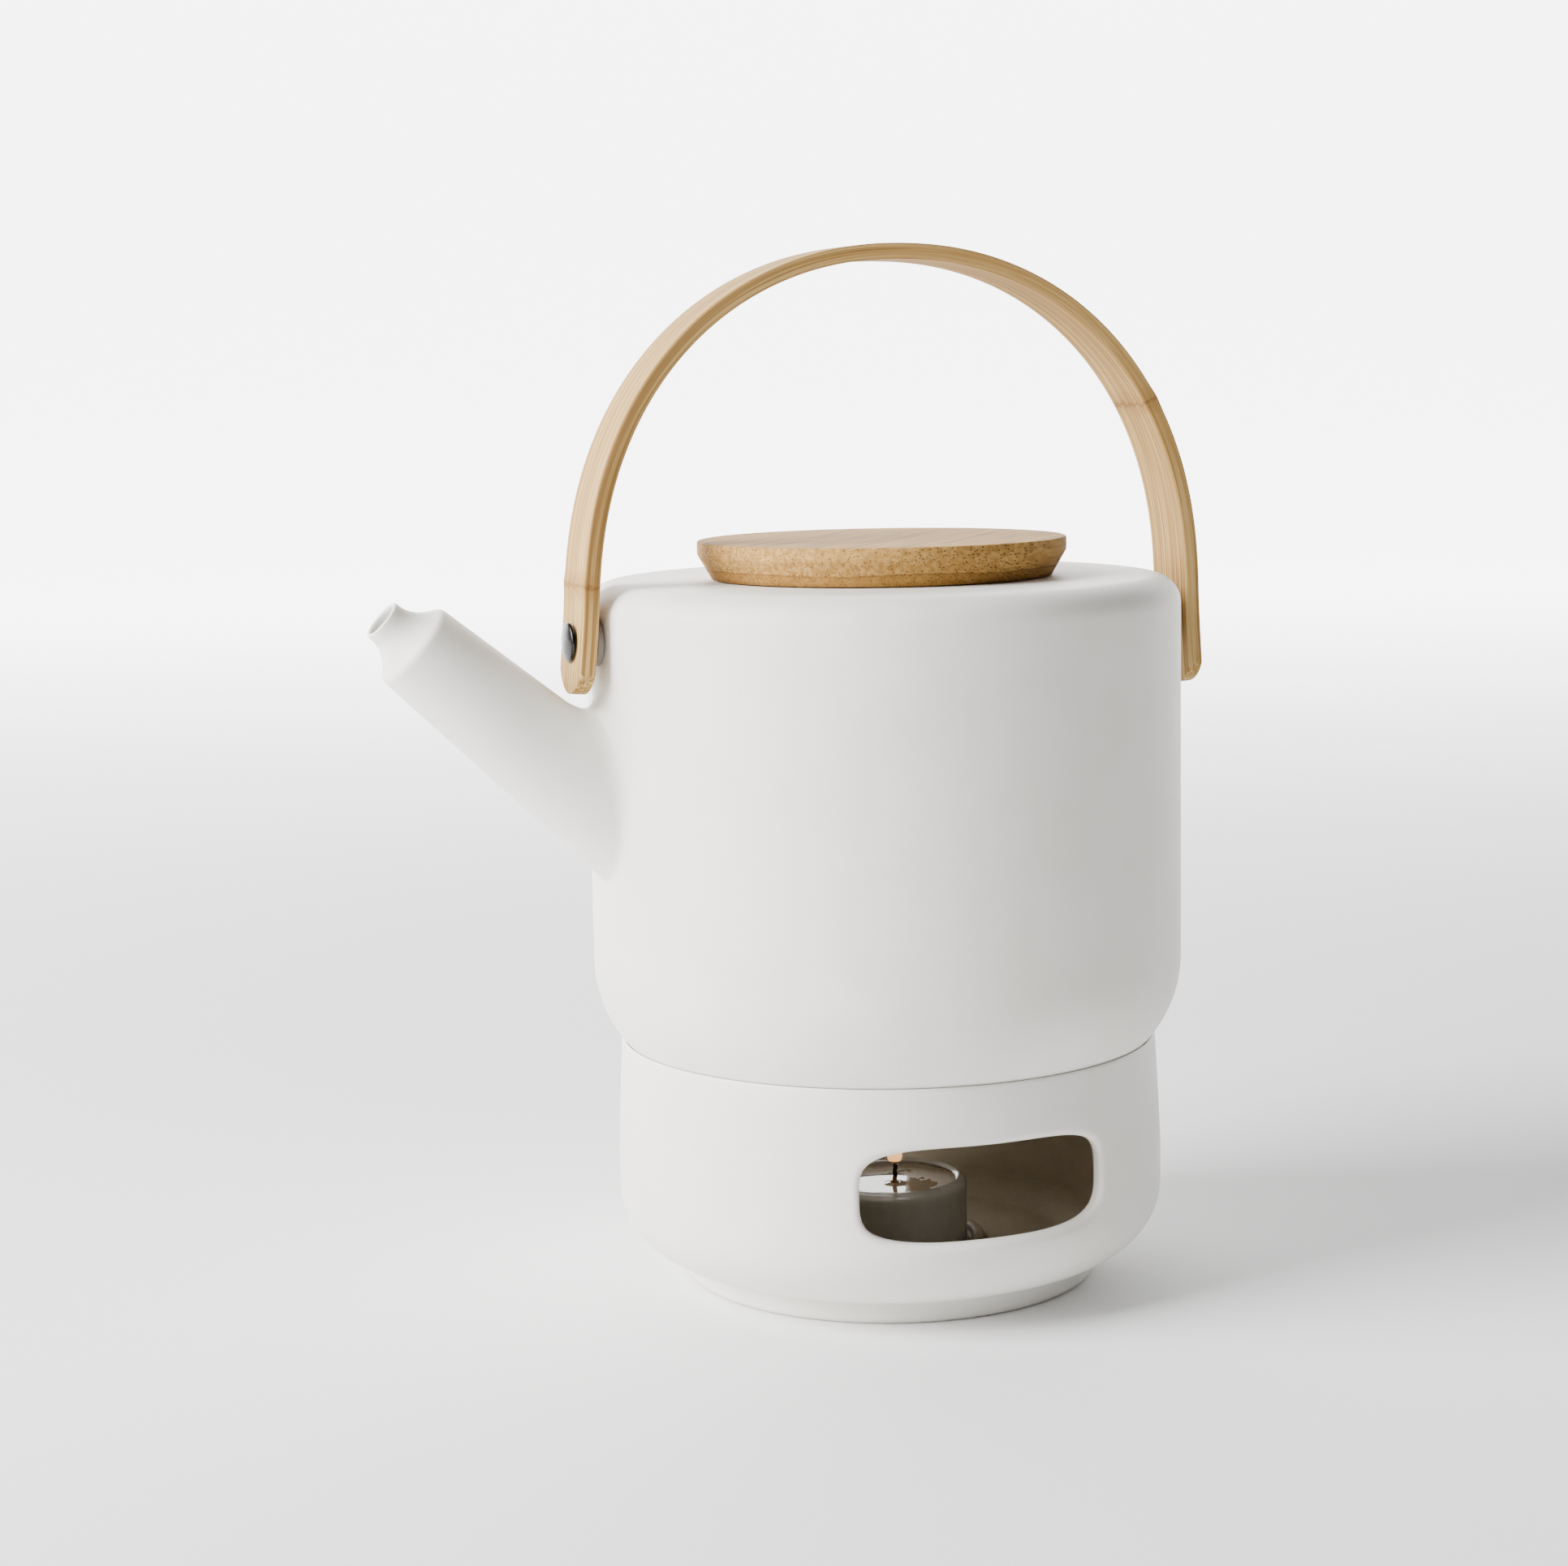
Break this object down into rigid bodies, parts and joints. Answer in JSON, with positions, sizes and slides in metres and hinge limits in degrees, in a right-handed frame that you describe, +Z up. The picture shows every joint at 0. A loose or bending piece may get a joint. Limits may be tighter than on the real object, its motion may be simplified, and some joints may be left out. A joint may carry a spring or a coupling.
{
  "type": "teapot with bail handle on tealight warmer",
  "caption": "Stoneware teapot with a straight conical spout, bent bamboo bail handle and bamboo disc lid, standing on a stoneware tealight warmer with wide rounded windows.",
  "frame": {"origin": "on the pot's vertical axis, in the plane that the warmer's foot stands on", "axes": "+Z up along the pot's axis; the spout points towards -X and the handle lies in the XZ plane; the warmer's windows face -Y and +Y"},
  "size_m": [0.213, 0.1456, 0.2538],
  "materials": {
    "stoneware": "matte glazed stoneware",
    "bamboo_handle": "bent bamboo strip, fine lengthwise grain, satin",
    "bamboo_lid": "laminated bamboo, end grain on two sides, satin",
    "silicone": "matte silicone",
    "screw_steel": "dark polished steel",
    "steel": "satin stainless steel",
    "clear_cup": "clear moulded candle cup",
    "wax": "paraffin wax, molten on top",
    "wick": "charred cotton"
  },
  "bodies": {
    "warmer": {"warmer_body": "stoneware"},
    "tealight": {"tealight_cup": "clear_cup", "tealight_wax": "wax", "tealight_wick": "wick", "wick_sustainer": "steel"},
    "pot": {"pot_base": "stoneware", "pot_body": "stoneware", "pot_spout": "stoneware", "handle_spacer_left": "silicone", "handle_spacer_right": "silicone", "handle_screw_left": "screw_steel", "handle_screw_right": "screw_steel", "inner_seal_left": "silicone", "inner_seal_right": "silicone", "inner_washer_left": "steel", "inner_washer_right": "steel", "cap_nut_left": "steel", "cap_nut_right": "steel"},
    "handle": {"handle_bail": "bamboo_handle"},
    "infuser": {"infuser_rim": "steel", "infuser_basket": "steel"},
    "lid": {"lid_disc": "bamboo_lid", "lid_seal": "silicone"}
  },
  "joints": [
    {"name": "tealight_lift", "type": "slide", "parent": "warmer", "child": "tealight", "axis": [0, 0, 1], "range_m": [0, 0.012]},
    {"name": "pot_lift", "type": "slide", "parent": "warmer", "child": "pot", "axis": [0, 0, 1], "range_m": [0, 0.08]},
    {"name": "handle_swing", "type": "hinge", "parent": "pot", "child": "handle", "pos_m": [0, 0, 0.161], "axis": [1, 0, 0], "range_deg": [-115, 115]},
    {"name": "infuser_lift", "type": "slide", "parent": "pot", "child": "infuser", "axis": [0, 0, 1], "range_m": [0, 0.045]},
    {"name": "lid_lift", "type": "slide", "parent": "infuser", "child": "lid", "axis": [0, 0, 1], "range_m": [0, 0.045]}
  ]
}
